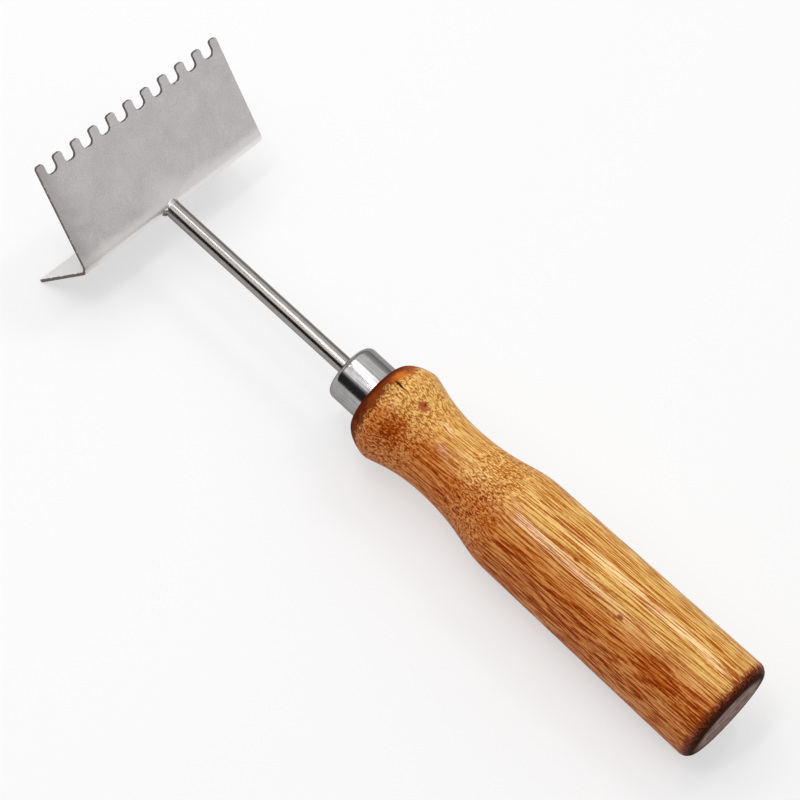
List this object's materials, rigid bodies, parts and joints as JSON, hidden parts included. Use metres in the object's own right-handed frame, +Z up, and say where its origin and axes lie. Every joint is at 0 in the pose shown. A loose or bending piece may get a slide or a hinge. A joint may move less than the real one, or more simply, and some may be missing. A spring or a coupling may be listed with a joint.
{
  "type": "hive tool",
  "caption": "Hand scraper for wire queen excluders: a folded sheet blade with a comb edge and a plain edge, on a straight round rod with a capped, turned wooden handle.",
  "frame": {"origin": "centre of the tool's bounding box, on the bench it lies on", "axes": "+X from the blade to the butt, level with the bench, +Y along the fold of the blade, +Z up; the rod's own line falls 1.3 degrees towards the butt, because the tool lies on its plain leg and the rim of its butt"},
  "size_m": [0.2324, 0.07, 0.0454],
  "materials": {
    "blade": "satin stainless sheet with a fine mottled grain",
    "weld_bead": "dull, slightly heat-darkened weld metal",
    "rod": "bright drawn stainless bar",
    "ferrule": "polished drawn cap",
    "handle": "turned hardwood under gloss varnish"
  },
  "bodies": {
    "root": {"blade": "blade", "weld_bead": "weld_bead", "rod": "rod", "ferrule": "ferrule", "handle": "handle"}
  },
  "joints": []
}
